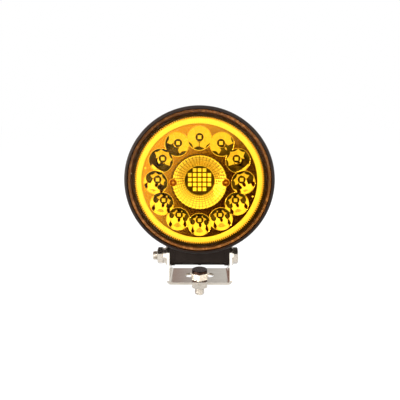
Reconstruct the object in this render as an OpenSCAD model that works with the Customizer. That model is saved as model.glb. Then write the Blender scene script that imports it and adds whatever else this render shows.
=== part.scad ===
// Round auxiliary fog light: die-cast finned head with an amber lens, on a bent steel
// U-bracket that tilts on one cross bolt and swivels on one mounting bolt.
// Millimetres. Origin: mounting bolt's axis at the underside of the bracket's foot.
// +X right, +Y to the back, +Z up; the lamp shines along -Y.

/* [Lamp head] */
// Diameter of the housing over its rim
lamp_d = 116; // [108:1:136]
// Distance from the tilt axis forward to the rim's front edge
head_front = 20; // [19:0.5:24]
// Distance from the tilt axis up to the underside of the rim
pivot_drop = 8.5; // [8:0.25:12]
// Length of the thick rim along the lamp's axis
rim_depth = 11; // [9:0.5:13]
// Step in from the rim to the shell behind it
rim_step = 3; // [2:0.5:4]
// Width of the bare lip round the lens
lip_w = 2.4; // [1.8:0.1:3.5]
// Rounding of the rim's front outer edge
rim_round = 2; // [1:0.25:3]

/* [Heat sink] */
// Thickness of the wall behind the circuit board
base_t = 4; // [3:0.5:6]
// Length of the cooling fins behind that wall
fin_run = 23.5; // [20:0.5:28]
// Thickness of a fin
fin_t = 2; // [1.5:0.25:2.5]
// Spacing of the fins
fin_pitch = 6.9; // [6:0.1:8.5]
// Number of fins each side of the middle one
fin_side_count = 7; // [5:1:7]
// Radius of the round core that holds the driver
core_r = 25; // [24:0.5:27]
// Length of the core behind the wall
core_run = 14; // [13:0.5:16]

/* [Lens and seal] */
// Thickness of the lens in its middle
lens_t = 2.5; // [2:0.25:3]
// Thickness of the lens flange
flange_t = 2; // [1.5:0.25:2.5]
// Depth of the flange below the rim's front edge
flange_drop = 0.6; // [0.2:0.1:1.5]
// Height of the raised middle over the flange
crown_h = 1.4; // [0.6:0.1:2]
// Width of the sealing ring under the flange
gasket_w = 2.7; // [2:0.1:4]
// Thickness of the sealing ring
gasket_t = 0.8; // [0.5:0.1:1.5]
// Width of the bare shelf between the sealing ring and the halo ring
shelf_w = 2.4; // [1.5:0.1:4]

/* [Halo ring] */
// Radial width of the light guide
halo_w = 5.3; // [4.5:0.1:6.5]
// Thickness of the light guide along the lamp's axis
halo_t = 6; // [5:0.5:7]
// Number of flutes round its edge
flute_count = 180; // [120:4:200]
// Depth of a flute
flute_depth = 0.7; // [0.4:0.1:1]
// Number of LEDs that feed the light guide
halo_led_count = 36; // [24:4:48]
// Thickness of the ring board under it
halo_board_t = 1; // [0.8:0.1:1.6]

/* [Reflectors] */
// Number of cups in the ring
cup_count = 12; // [10:1:12]
// Radius of a cup's mouth
cup_r = 9.1; // [8.8:0.1:9.8]
// Radius of the hole round the LED at a cup's bottom
cup_hole_r = 3.2; // [2.6:0.1:3.6]
// Depth of a cup
cup_depth = 12; // [11:0.5:14]
// Wall of the reflector moulding
cup_wall = 1.1; // [0.9:0.1:1.4]
// Width of the raised bead round a cup's mouth
bead_w = 0.4; // [0.3:0.1:0.8]
// Height of that bead
bead_h = 0.5; // [0.3:0.1:0.8]
// Distance from the back of the lens to the reflector's face
face_gap = 1.7; // [1.2:0.1:2.5]
// Radius of the middle bowl
bowl_r = 21.5; // [20:0.25:22]
// Radius of the opening at the bottom of the bowl
bowl_hole_r = 11.7; // [11.5:0.1:12.5]
// Depth of the bowl's faceted part
bowl_depth = 8; // [6:0.5:9]
// Number of facets round the bowl
facet_count = 64; // [48:4:72]
// Number of rows of facets
facet_rows = 6; // [4:1:7]

/* [Electronics] */
// Edge of a square LED
led_w = 3; // [2.5:0.1:3.2]
// Height of an LED
led_t = 0.7; // [0.5:0.1:1]
// Spacing of the LEDs in the middle array
array_pitch = 3.95; // [3.6:0.05:4.1]
// Thickness of the main board
board_t = 1.6; // [1.2:0.2:2]
// Thickness of the thermal pad behind it
pad_t = 0.5; // [0.3:0.1:1]
// Radius of the driver board
driver_r = 20; // [18:0.5:21]

/* [Bracket] */
// Outer width of the U-bracket
bracket_w = 54; // [50:1:60]
// Thickness of its plate
plate_t = 2; // [1.5:0.25:3]
// Depth of its foot, front to back
foot_d = 30; // [26:1:36]
// Height of the tilt axis over the underside of the foot
pivot_h = 20; // [19:0.5:26]
// Radius of the rounded top of an arm
arm_r = 10; // [9:0.5:11]
// Outer radius of the bends
bend_r = 3.5; // [3:0.25:5]
// Length of the slot in the foot
slot_l = 25; // [18:0.5:28]
// Width of the slot in the foot
slot_w = 9; // [8.6:0.1:10]

/* [Fasteners] */
// Diameter of both bolts
bolt_d = 8; // [7.5:0.25:8]
// Width across the flats of the bolt heads and nuts
hex_af = 13; // [12:0.5:14]
// Height of the mounting bolt's head
head_h = 5.3; // [4.5:0.1:6]
// Height of the tilt bolt's low head
tilt_head_h = 4; // [3.5:0.1:5.5]
// Height of a nut
nut_h = 5; // [4:0.1:6.5]
// Diameter of a flat washer
washer_d = 16; // [15.5:0.5:18]
// Thickness of a flat washer
washer_t = 1.6; // [1.2:0.1:2]
// Thickness of the flat washer under the tilt bolt's head
head_washer_t = 1.4; // [1:0.1:2]
// Outer diameter of a spring washer
spring_d = 13; // [12:0.5:14]
// Thickness of a spring washer
spring_t = 2; // [1.5:0.1:2.5]
// Length of the mounting bolt that stands free below its nut
stud_free = 6.9; // [4:0.1:30]
// Length of the tilt bolt that stands free past its nut
tilt_free = 4; // [2:0.1:8]
// Radius of the heads of the two screws in the middle reflector
screw_head_r = 3; // [2.6:0.1:3.2]

/* [Hidden] */
$fn = 96;

// Clearances
play = 0.2;            // radial, between parts that drop into one another
pin_play = 0.05;       // radial, tilt bolt in the lug
hole_play = 0.25;      // radial, bolt in a bracket hole
thread_play = 0.03;    // radial, nut or washer on its bolt
nut_past = 0.3;        // how far a bolt's full radius runs past its nut
undercut_w = 1;        // turned undercut beyond that
undercut_depth = 0.6;
side_play = 0.3;       // lug to each arm
cut = 1;               // how far a cutting shape runs past the face it cuts
bite = 0.5;            // how far joined shapes run into one another

// Radii of the head, from the rim inwards
lamp_r = lamp_d / 2;
shell_r = lamp_r - rim_step;
seat_r = lamp_r - lip_w;
lens_r = seat_r - play;
gasket_in_r = lens_r - gasket_w;
crown_r = gasket_in_r - 0.8;
crown_in_r = gasket_in_r - 2.6;
halo_bore_r = gasket_in_r - shelf_w;
halo_r = halo_bore_r - play;
halo_in_r = halo_r - halo_w;
reflector_r = halo_in_r - play;
board_bore_r = halo_in_r + 2.2;
board_r = board_bore_r - play;
nub_r = 0.8;            // locating nubs on the reflector
bead_land = 1.2;       // flat left between a bead and the reflector's edge
cup_ring_r = reflector_r - cup_r - bead_w - bead_land;
bowl_bore_r = bowl_r + play;
divider_t = 0.5;       // straight wall where two cups' mouths meet

// Depths of the head along its axis, from the front, as world Y
rim_y = -head_front;
flange_y = rim_y + flange_drop;
flange_back_y = flange_y + flange_t;
crown_y = flange_y - crown_h;
crown_back_y = crown_y + lens_t;
seat_y = flange_back_y + gasket_t;
face_y = crown_back_y + face_gap;
halo_y = crown_back_y + 0.9;
halo_board_y = halo_y + halo_t;
halo_shelf_y = halo_board_y + halo_board_t;
cup_back_y = face_y + cup_depth;
board_y = cup_back_y + 0.8;
board_back_y = board_y + board_t;
floor_y = board_back_y + pad_t;
base_back_y = floor_y + base_t;
fin_back_y = base_back_y + fin_run;
core_back_y = base_back_y + core_run;

// Heights
lamp_z = pivot_h + pivot_drop + lamp_r;
bolt_r = bolt_d / 2;
lug_r = bolt_r + 4.5;
lug_relief = 0.6;
lug_w = bracket_w - 2 * plate_t - 2 * side_play;

// Grooves that core the reflector behind its cups
core_groove_y = face_y + cup_depth * 0.65;
core_clear_at_back = cup_radius(0.65) + cup_wall;

// Driver pocket in the core
pocket_r = driver_r - 2;
pocket_step_y = floor_y + 3.2;
pocket_back_y = core_back_y - 5;
driver_t = 1.6;

// Cable gland and vent on the core's back face, below and above the lamp's axis
gland_drop = 9;
gland_thread_r = 5.2;
gland_thread_l = core_back_y - pocket_back_y;
gland_hex_af = 14;
gland_hex_h = 3.5;
gland_free_l = 4;
gland_nut_r = 7;
gland_nut_h = 9;
cord_hole_r = 2.9;
vent_rise = 11;
vent_r = 5;
vent_thread_r = 2.9;
core_clear_r = core_r - 3;

// Screws
centre_screw_r = 1.5;
centre_screw_x = bowl_r - 1.1;
post_r = 2.5;
boss_r = 3;
screw_bite_l = 3;
board_screw_count = 3;
board_screw_head_r = 2.6;

// Moves a shape modelled along +Z to the lamp's axis, where +Z becomes +Y
module on_lamp_axis() {
  translate([0, 0, lamp_z]) rotate([-90, 0, 0]) children();
}

// A rectangle from one corner to the other
module box2(low, high) {
  translate(low) square(high - low);
}

// A ring from radius r1 to r2, between two depths
module ring(r1, r2, y1, y2) {
  rotate_extrude() box2([r1, y1], [r2, y2]);
}

// A rectangle like box2 with its low-Y outer corner rounded
module box2_rounded(low, high, r) {
  box2([low[0], low[1] + r], high);
  box2(low, [high[0] - r, low[1] + r]);
  translate([high[0] - r, low[1] + r]) circle(r);
}

module repeat_round(count, r, start = 0) {
  for (i = [0 : count - 1])
    rotate(start + i * 360 / count) translate([r, 0, 0]) children();
}

// ---- Head ----

module fins() {
  intersection() {
    translate([0, 0, floor_y + bite])
      for (i = [-fin_side_count : fin_side_count])
        translate([i * fin_pitch - fin_t / 2, -lamp_r, 0])
          cube([fin_t, lamp_d, fin_back_y - floor_y]);
    // Domed outline of the fins: a straight part, then a large round
    rotate_extrude() intersection() {
      box2([0, floor_y], [shell_r - 0.6, fin_back_y]);
      union() {
        box2([0, floor_y], [shell_r, base_back_y + 4]);
        translate([shell_r - 0.6 - fin_run * 1.1, base_back_y + 4])
          circle(fin_run * 1.1);
        box2([0, floor_y], [shell_r - 0.6 - fin_run * 1.1, fin_back_y]);
      }
    }
  }
}

// The lug under the head: full at its ends and on a middle rib, relieved between
module lug_slab(r, x1, x2) {
  top_z = pivot_drop + 14;
  translate([x1, 0, pivot_h]) rotate([90, 0, 90]) linear_extrude(x2 - x1) {
    circle(r);
    translate([-r, 0]) square([2 * r, top_z]);
  }
}

module lug() {
  boss_w = 3.5;
  rib_w = 2.6;
  lug_slab(lug_r - lug_relief, -lug_w / 2 + bite, lug_w / 2 - bite);
  for (side = [-1, 1])
    lug_slab(lug_r, side * (lug_w - boss_w) / 2 - boss_w / 2,
      side * (lug_w - boss_w) / 2 + boss_w / 2);
  lug_slab(lug_r - lug_relief / 2, -rib_w / 2, rib_w / 2);
}

// Two cylinders on the axes of the middle reflector's screws: bosses, holes or notches
module screw_pair(r, y1, y2) {
  for (side = [-1, 1])
    translate([side * centre_screw_x, 0, y1]) cylinder(r = r, h = y2 - y1);
}

// Stepped pocket in the core: the driver board lies on its ledge
module driver_pocket() {
  difference() {
    rotate_extrude() {
      box2([0, floor_y - cut], [driver_r + play, pocket_step_y]);
      box2([0, pocket_step_y - cut], [pocket_r, pocket_back_y]);
    }
    screw_pair(boss_r, floor_y, pocket_back_y + cut);
  }
}

module housing() color("#2b2725") {
  difference() {
    union() {
      on_lamp_axis() {
        rotate_extrude() {
          box2_rounded([0, rim_y], [lamp_r, rim_y + rim_depth], rim_round);
          box2([0, rim_y + rim_depth - bite], [shell_r, base_back_y]);
        }
        translate([0, 0, floor_y]) cylinder(r = core_r, h = core_back_y - floor_y);
        fins();
      }
      lug();
    }
    on_lamp_axis() {
      // Lens seat, halo bore, board bore
      rotate_extrude() {
        box2([0, rim_y - cut], [seat_r, seat_y]);
        box2([0, seat_y - cut], [halo_bore_r, halo_shelf_y]);
        box2([0, halo_shelf_y - cut], [board_bore_r, floor_y]);
      }
      driver_pocket();
      // Room round the gland and the vent, behind the core
      translate([0, 0, core_back_y])
        cylinder(r = core_clear_r, h = fin_back_y - core_back_y + cut);
      translate([0, gland_drop, pocket_back_y - cut])
        cylinder(r = gland_thread_r + play, h = gland_thread_l + 2 * cut);
      translate([0, -vent_rise, pocket_back_y - cut])
        cylinder(r = vent_thread_r + play, h = gland_thread_l + 2 * cut);
      // Blind holes for the screws
      screw_pair(centre_screw_r + thread_play, floor_y - cut, floor_y + screw_bite_l);
      repeat_round(board_screw_count, cup_ring_r, 15)
        translate([0, 0, floor_y - cut])
          cylinder(r = centre_screw_r + thread_play, h = screw_bite_l + cut);
    }
    // Tilt bolt's bore
    translate([-lug_w / 2 - cut, 0, pivot_h]) rotate([0, 90, 0])
      cylinder(r = bolt_r + pin_play, h = lug_w + 2 * cut);
  }
}

module lens() color("#e8a21c", 0.6) on_lamp_axis() rotate_extrude() {
  box2_rounded([0, crown_y], [crown_r, crown_back_y], 1);
  box2_rounded([crown_in_r, flange_y], [lens_r, flange_back_y], 0.6);
}

module lens_gasket() color("#6e6a66") on_lamp_axis()
  ring(gasket_in_r, lens_r - play, flange_back_y, seat_y);

// Points of a toothed circle: flute crests on r, roots one flute depth inside
function flute_points(r) = [for (i = [0 : 2 * flute_count - 1])
  let (a = i * 180 / flute_count, ri = r - (i % 2) * flute_depth)
    [ri * cos(a), ri * sin(a)]];

module halo_ring() color("#f3efdf") on_lamp_axis() {
  led_groove_r = (halo_in_r + halo_r) / 2;
  difference() {
    union() {
      translate([0, 0, halo_y]) linear_extrude(halo_t - 1) polygon(flute_points(halo_r));
      translate([0, 0, halo_board_y - 2]) cylinder(r = halo_r - 2 * flute_depth, h = 2);
    }
    translate([0, 0, halo_y - cut]) cylinder(r = halo_in_r, h = halo_t + 2 * cut);
    ring(led_groove_r - 1.2, led_groove_r + 1.2, halo_board_y - 1.2, halo_board_y + cut);
  }
}

module halo_led_board() color("#d9d6cc") on_lamp_axis()
  ring(halo_in_r + play, halo_r, halo_board_y, halo_shelf_y);

module halo_leds() color("#f2e9a8") on_lamp_axis()
  repeat_round(halo_led_count, (halo_in_r + halo_r) / 2)
    translate([-0.7, -1, halo_board_y - 0.8]) cube([1.4, 2, 0.8]);

// Radius of a cup at depth fraction t: a parabola from its mouth to its LED hole
function cup_radius(t) = sqrt(cup_hole_r * cup_hole_r
  + (cup_r * cup_r - cup_hole_r * cup_hole_r) * (1 - t));

module cup_profile(y1, y2) {
  steps = 5;
  polygon(concat([[0, y1], [cup_r, y1]],
    [for (i = [0 : steps]) [cup_radius(i / steps), face_y + i / steps * cup_depth]],
    [[cup_hole_r, y2], [0, y2]]));
}

// Wedge that belongs to one cup, apart from its neighbours' by the given gap
module cup_wedge(gap) {
  half = 180 / cup_count;
  far = reflector_r / cos(half) + cut;
  translate([gap / 2 / sin(half), 0, face_y - bead_h - cut])
    linear_extrude(board_y - face_y + bead_h + 2 * cut)
      polygon([[0, 0], [far * cos(half), -far * sin(half)], [far * cos(half), far * sin(half)]]);
}

module each_cup(gap) {
  for (i = [0 : cup_count - 1]) rotate(90 + i * 360 / cup_count)
    intersection() {
      cup_wedge(gap);
      translate([cup_ring_r, 0, 0]) children();
    }
}

// A ring moulding with overlapping parabolic cups, a thin straight divider where two
// mouths meet, a raised bead round each mouth, and cored grooves behind
module reflector() color("#d8d5cd") on_lamp_axis() difference() {
  union() {
    ring(bowl_bore_r, reflector_r, face_y, board_y);
    each_cup(divider_t * 0.4) translate([0, 0, face_y - bead_h])
      cylinder(r = cup_r + bead_w, h = bead_h + bite);
    // Two locating nubs on the land between cups, opposite each other
    repeat_round(2, reflector_r - 2 * nub_r, 180 / cup_count)
      translate([0, 0, face_y - bead_h]) cylinder(r = nub_r, h = bead_h + bite);
  }
  each_cup(divider_t) rotate_extrude() cup_profile(face_y - bead_h - cut, board_y + cut);
  ring(bowl_bore_r + cup_wall, cup_ring_r - core_clear_at_back, core_groove_y, board_y + cut);
  ring(cup_ring_r + core_clear_at_back, reflector_r - cup_wall, core_groove_y, board_y + cut);
  // Notches beside the middle reflector's screws
  screw_pair(centre_screw_r + play, face_y - cut, board_y + cut);
  // Room for the board screws' heads
  repeat_round(cup_count, cup_ring_r, 90 + 180 / cup_count)
    translate([0, 0, board_y - 1.8]) cylinder(r = board_screw_head_r + 0.3, h = 1.8 + cut);
}

// Corner radius and depth of the bowl's facet grid at row j
function bowl_corner_r(j) = let (t = j / facet_rows)
  bowl_r - 0.9 - (bowl_r - 0.9 - bowl_hole_r) * pow(t, 0.8);
function bowl_corner_y(j) = face_y + bowl_depth * pow(j / facet_rows, 1.25);

// The air in the bowl, as flat facets: rings of corners from mouth to opening
module bowl_air() {
  n = facet_count;
  rings = concat([[bowl_corner_r(0), face_y - cut]],
    [for (j = [0 : facet_rows]) [bowl_corner_r(j), bowl_corner_y(j)]]);
  last = len(rings) - 1;
  points = [for (c = rings) for (i = [0 : n - 1])
    [c[0] * cos(i * 360 / n), c[0] * sin(i * 360 / n), c[1]]];
  sides = [for (j = [0 : last - 1]) for (i = [0 : n - 1])
    [j * n + i, (j + 1) * n + i, (j + 1) * n + (i + 1) % n, j * n + (i + 1) % n]];
  polyhedron(points, concat(sides, [[for (i = [0 : n - 1]) i],
    [for (i = [n - 1 : -1 : 0]) last * n + i]]));
}

module centre_reflector() color("#e4e1d8") on_lamp_axis() difference() {
  union() {
    rotate_extrude() polygon([[0, face_y], [bowl_r, face_y], [bowl_r, face_y + 1.4],
      [bowl_hole_r + cup_wall + 0.6, face_y + bowl_depth + 0.8],
      [bowl_hole_r + cup_wall + 0.6, board_y - led_t - play], [0, board_y - led_t - play]]);
    intersection() {
      screw_pair(post_r, face_y, board_y);
      translate([0, 0, face_y]) cylinder(r = bowl_r, h = board_y - face_y);
    }
  }
  bowl_air();
  translate([0, 0, face_y]) cylinder(r = bowl_hole_r - 0.3, h = cup_depth + 2);
  screw_pair(centre_screw_r + play, face_y - cut, board_y + cut);
}

// A pan-head screw with a cross recess, head on the face at depth head_y
module pan_screw(head_y, head_r, tip_y) {
  head_t = 1.3;
  translate([0, 0, head_y - head_t]) difference() {
    union() {
      cylinder(r1 = head_r - 0.5, r2 = head_r, h = 0.5);
      translate([0, 0, 0.5]) cylinder(r = head_r, h = head_t - 0.5);
      cylinder(r = centre_screw_r, h = tip_y - head_y + head_t);
    }
    for (turn = [0, 90])
      rotate(turn) translate([-head_r * 0.6, -0.45, -cut]) cube([head_r * 1.2, 0.9, cut + 0.8]);
  }
}

module centre_screws() color("#b9b4a6") on_lamp_axis()
  for (side = [-1, 1])
    translate([side * centre_screw_x, 0, 0])
      pan_screw(face_y, screw_head_r, floor_y + screw_bite_l - play);

module screw_holes(r, y1, y2) {
  screw_pair(r, y1, y2);
  repeat_round(board_screw_count, cup_ring_r, 15)
    translate([0, 0, y1]) cylinder(r = r, h = y2 - y1);
}

module main_board() color("#20201f") on_lamp_axis() difference() {
  translate([0, 0, board_y]) cylinder(r = board_r, h = board_t);
  screw_holes(centre_screw_r + play, board_y - cut, board_back_y + cut);
  // Notch for the halo ring's lead
  translate([board_r, 0, board_y - cut]) cylinder(r = 2.2, h = board_t + 2 * cut);
}

module thermal_pad() color("#8f979c") on_lamp_axis() difference() {
  translate([0, 0, board_back_y]) cylinder(r = board_r - 1, h = pad_t);
  screw_holes(centre_screw_r + 2 * play, board_back_y - cut, floor_y + cut);
  // Lead from the driver
  translate([0, 8, board_back_y - cut]) cylinder(r = 3, h = pad_t + 2 * cut);
}

module board_screws() color("#b9b4a6") on_lamp_axis()
  repeat_round(board_screw_count, cup_ring_r, 15)
    pan_screw(board_y, board_screw_head_r, floor_y + screw_bite_l - play);

// A surface-mount LED: a square body with a smaller raised phosphor face
module led() {
  face_w = led_w * 0.86;
  translate([-led_w / 2, -led_w / 2, board_y - led_t * 0.7]) cube([led_w, led_w, led_t * 0.7]);
  translate([-face_w / 2, -face_w / 2, board_y - led_t]) cube([face_w, face_w, led_t]);
}

// The ring's LEDs all stand square to the lamp, as they are placed on the board
module outer_leds() color("#f4e6a0") on_lamp_axis()
  for (i = [0 : cup_count - 1])
    let (a = 90 + i * 360 / cup_count)
      translate([cup_ring_r * cos(a), cup_ring_r * sin(a), 0]) led();

// Five rows of five without the corners
module centre_leds() color("#f4e6a0") on_lamp_axis()
  for (i = [-2 : 2]) for (j = [-2 : 2])
    if (abs(i) + abs(j) < 4)
      translate([i * array_pitch, j * array_pitch, 0]) led();

// Driver board, notched round the bosses. Its parts stand on the side away from the LEDs:
// choke, two capacitors, switching chip and connector, placed in shares of the board's radius
module driver_board() color("#1f5a34") on_lamp_axis() {
  part_y = pocket_step_y - bite;
  room = pocket_back_y - pocket_step_y;
  difference() {
    translate([0, 0, pocket_step_y - driver_t]) cylinder(r = driver_r, h = driver_t);
    screw_pair(boss_r + play, floor_y, pocket_step_y + cut);
  }
  translate([-driver_r * 0.35, driver_r * 0.25, part_y]) difference() {
    cylinder(r = driver_r * 0.25, h = room * 0.6);
    translate([0, 0, room * 0.5]) cylinder(r = driver_r * 0.11, h = room);
  }
  for (share = [0.2, 0.55])
    translate([driver_r * share, driver_r * 0.35, part_y])
      cylinder(r = driver_r * 0.15, h = room * 0.7);
  translate([driver_r * 0.1, -driver_r * 0.45, part_y])
    cube([driver_r * 0.45, driver_r * 0.35, bite + driver_t]);
  translate([-driver_r * 0.55, -driver_r * 0.45, part_y])
    cube([driver_r * 0.4, driver_r * 0.25, bite + driver_t]);
}

// ---- Cable gland and vent on the back ----

module at_gland() {
  on_lamp_axis() translate([0, gland_drop, core_back_y]) children();
}

module cable_gland() color("#1c1b1a") at_gland() difference() {
  union() {
    translate([0, 0, -gland_thread_l]) cylinder(r = gland_thread_r, h = gland_thread_l);
    cylinder(r = gland_hex_af / sqrt(3), h = gland_hex_h, $fn = 6);
    cylinder(r = gland_thread_r, h = gland_hex_h + gland_free_l);
  }
  translate([0, 0, -gland_thread_l - cut])
    cylinder(r = cord_hole_r, h = gland_thread_l + gland_hex_h + gland_free_l + 2 * cut);
}

// Domed nut of the gland, bored for the cord
module gland_nut() color("#1c1b1a") at_gland() difference() {
  dome_r = 3;
  translate([0, 0, gland_hex_h]) rotate_extrude() {
    box2([0, 0], [gland_nut_r, gland_nut_h - dome_r]);
    box2([0, 0], [gland_nut_r - dome_r, gland_nut_h]);
    translate([gland_nut_r - dome_r, gland_nut_h - dome_r]) circle(dome_r);
  }
  translate([0, 0, gland_hex_h - cut])
    cylinder(r = gland_thread_r + thread_play, h = gland_free_l + cut);
  cylinder(r = cord_hole_r, h = gland_hex_h + gland_nut_h + cut);
  // Grip flats
  for (i = [0 : 7]) rotate(i * 45)
    translate([gland_nut_r - 0.45, -1.2, gland_hex_h - cut]) cube([2, 2.4, cut + 5]);
}

module breather_vent() color("#1c1b1a")
  on_lamp_axis() translate([0, -vent_rise, core_back_y]) difference() {
    union() {
      translate([0, 0, -gland_thread_l]) cylinder(r = vent_thread_r, h = gland_thread_l);
      cylinder(r = vent_r, h = 2.2);
      translate([0, 0, 2.2]) cylinder(r1 = vent_r, r2 = vent_r - 0.8, h = 0.8);
    }
    // Side slots that let air in under the cap
    for (i = [0 : 5]) rotate(i * 60)
      translate([vent_r - 1, -0.6, 0.8]) cube([2, 1.2, 1]);
  }

// ---- Bracket ----

// Side outline of an arm: round at the tilt axis, straight flanks down to the foot
module arm_outline() {
  half_d = foot_d / 2;
  drop = pivot_h - bend_r;
  reach = sqrt(half_d * half_d + drop * drop);
  // Point where a straight line from the foot's corner touches the round top
  a = atan2(drop, half_d) - acos(arm_r / reach);
  touch = [arm_r * cos(a), pivot_h - arm_r * sin(a)];
  translate([0, pivot_h]) circle(arm_r);
  polygon([[-half_d, 0], [half_d, 0], [half_d, bend_r], touch, [-touch[0], touch[1]],
    [-half_d, bend_r]]);
}

// Front outline of the U: constant wall round two bends
module u_outline() {
  half_w = bracket_w / 2;
  top_z = pivot_h + arm_r + cut;
  difference() {
    u_solid(half_w, 0, bend_r, top_z);
    u_solid(half_w - plate_t, plate_t, bend_r - plate_t, top_z + cut);
  }
}

module u_solid(half_w, low, r, top_z) {
  box2([-half_w, low + r], [half_w, top_z]);
  box2([-half_w + r, low], [half_w - r, low + r + 0.01]);
  for (side = [-1, 1])
    translate([side * (half_w - r), low + r]) circle(r);
}

module bracket() color("#cfcac2") difference() {
  intersection() {
    translate([0, foot_d, 0]) rotate([90, 0, 0]) linear_extrude(2 * foot_d) u_outline();
    translate([-bracket_w, 0, 0]) rotate([90, 0, 90]) linear_extrude(2 * bracket_w)
      arm_outline();
  }
  // Slot for the mounting bolt
  translate([0, 0, -cut]) linear_extrude(plate_t + 2 * cut) {
    square([slot_l - slot_w, slot_w], center = true);
    for (side = [-1, 1])
      translate([side * (slot_l - slot_w) / 2, 0]) circle(slot_w / 2);
  }
  translate([-bracket_w, 0, pivot_h]) rotate([0, 90, 0])
    cylinder(r = bolt_r + hole_play, h = 2 * bracket_w);
}

// ---- Fasteners, modelled along +Z ----

// A hexagon with its corners turned off at one end or both
module hex_blank(h, both_ends) {
  corner_r = hex_af / sqrt(3);
  turned_r = hex_af / 2 * 0.98;
  slope = tan(30);
  intersection() {
    cylinder(r = corner_r, h = h, $fn = 6);
    rotate_extrude() polygon([[0, 0],
      [both_ends ? turned_r : corner_r + cut, 0],
      [corner_r + cut, both_ends ? (corner_r + cut - turned_r) * slope : 0],
      [corner_r + cut, h - (corner_r + cut - turned_r) * slope],
      [turned_r, h], [0, h]]);
  }
}

// Shank of a bolt: an undercut sets its free end apart from what the nut holds
module shank(length, free) {
  chamfer = bolt_r * 0.18;
  held_end = length - free + nut_past;
  free_start = held_end + undercut_w;
  cylinder(r = bolt_r, h = held_end);
  cylinder(r = bolt_r - undercut_depth, h = length - chamfer);
  translate([0, 0, free_start]) cylinder(r = bolt_r, h = length - chamfer - free_start);
  translate([0, 0, length - chamfer]) cylinder(r1 = bolt_r, r2 = bolt_r - chamfer, h = chamfer);
}

module nut() {
  difference() {
    hex_blank(nut_h, true);
    translate([0, 0, -cut]) cylinder(r = bolt_r + thread_play, h = nut_h + 2 * cut);
  }
}

module washer(t) {
  difference() {
    cylinder(r = washer_d / 2, h = t);
    translate([0, 0, -cut]) cylinder(r = bolt_r + thread_play, h = t + 2 * cut);
  }
}

// Split ring of square section
module spring_washer() {
  split = 18;
  rotate([0, 0, split / 2]) rotate_extrude(angle = 360 - split)
    box2([bolt_r + thread_play, 0], [spring_d / 2, spring_t]);
}

// Turns a fastener modelled along +Z so that it points along -X, at the tilt axis
module along_tilt(x) {
  translate([x, 0, pivot_h]) rotate([0, -90, 0]) children();
}

arm_x = bracket_w / 2;
tilt_head_x = arm_x + head_washer_t;
tilt_nut_x = -arm_x - washer_t - spring_t;

module tilt_bolt() color("#c9c1b4") along_tilt(tilt_head_x) {
  mirror([0, 0, 1]) hex_blank(tilt_head_h, false);
  shank(tilt_head_x - tilt_nut_x + nut_h + tilt_free, tilt_free);
}

module tilt_nut() color("#c9c1b4") along_tilt(tilt_nut_x) nut();

module tilt_washers() color("#c9c1b4") {
  along_tilt(tilt_head_x) washer(head_washer_t);
  along_tilt(-arm_x) washer(washer_t);
}

module tilt_spring_washer() color("#c9c1b4") along_tilt(-arm_x - washer_t) spring_washer();

// Turns a fastener modelled along +Z so that it points down the mounting axis
module down_from(z) {
  translate([0, 0, z]) rotate([180, 0, 0]) children();
}

mount_nut_z = -washer_t - spring_t;

module mounting_bolt() color("#c9c1b4") down_from(plate_t) {
  rotate([0, 0, 30]) mirror([0, 0, 1]) hex_blank(head_h, false);
  shank(plate_t - mount_nut_z + nut_h + stud_free, stud_free);
}

module mounting_washer() color("#c9c1b4") down_from(0) washer(washer_t);

module mounting_spring_washer() color("#c9c1b4") down_from(-washer_t) spring_washer();

module mounting_nut() color("#c9c1b4") down_from(mount_nut_z) rotate([0, 0, 30]) nut();

housing();
lens();
lens_gasket();
halo_ring();
halo_led_board();
halo_leds();
reflector();
centre_reflector();
centre_screws();
main_board();
outer_leds();
centre_leds();
board_screws();
thermal_pad();
driver_board();
cable_gland();
gland_nut();
breather_vent();
bracket();
tilt_bolt();
tilt_nut();
tilt_washers();
tilt_spring_washer();
mounting_bolt();
mounting_washer();
mounting_spring_washer();
mounting_nut();
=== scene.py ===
"""Fog light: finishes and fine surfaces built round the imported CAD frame.

Laid out as an add-on and run as a script. Lengths are in metres, in the CAD's own frame:
+X right, +Y to the back, +Z up, and the lamp shines along -Y.
"""

import math

import bmesh
import bpy
import numpy as np
from bpy.props import FloatProperty, IntProperty, PointerProperty, StringProperty
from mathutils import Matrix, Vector


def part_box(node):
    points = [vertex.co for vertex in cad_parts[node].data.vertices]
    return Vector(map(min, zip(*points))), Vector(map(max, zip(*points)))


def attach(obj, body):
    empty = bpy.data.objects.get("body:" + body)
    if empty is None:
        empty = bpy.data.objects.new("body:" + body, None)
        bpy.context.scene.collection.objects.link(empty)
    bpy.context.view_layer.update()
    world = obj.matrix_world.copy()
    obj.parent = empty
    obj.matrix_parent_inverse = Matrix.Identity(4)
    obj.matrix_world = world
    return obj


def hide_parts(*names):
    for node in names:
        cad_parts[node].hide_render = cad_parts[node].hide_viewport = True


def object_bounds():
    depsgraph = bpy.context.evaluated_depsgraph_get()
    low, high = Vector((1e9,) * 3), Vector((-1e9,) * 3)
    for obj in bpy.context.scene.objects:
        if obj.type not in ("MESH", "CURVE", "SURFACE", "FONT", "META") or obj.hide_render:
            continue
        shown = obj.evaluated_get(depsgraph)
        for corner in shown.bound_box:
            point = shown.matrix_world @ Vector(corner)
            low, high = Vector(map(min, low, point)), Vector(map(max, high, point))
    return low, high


bl_info = {
    "name": "Fog light",
    "version": (1, 0, 0),
    "blender": (4, 5, 0),
    "location": "3D View > Sidebar > Fog light",
    "description": "Builds the finishes and fine surfaces of a round fog light on its bracket",
    "category": "Object",
}

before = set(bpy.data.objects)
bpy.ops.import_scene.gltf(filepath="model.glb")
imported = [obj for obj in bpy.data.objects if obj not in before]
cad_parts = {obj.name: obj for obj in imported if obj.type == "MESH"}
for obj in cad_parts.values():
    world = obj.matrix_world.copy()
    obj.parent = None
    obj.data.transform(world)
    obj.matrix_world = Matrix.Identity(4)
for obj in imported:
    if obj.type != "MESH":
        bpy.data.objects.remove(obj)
CAD_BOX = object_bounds()
MM = 0.001
WELD = 1e-7  # points closer than this are one point


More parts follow.
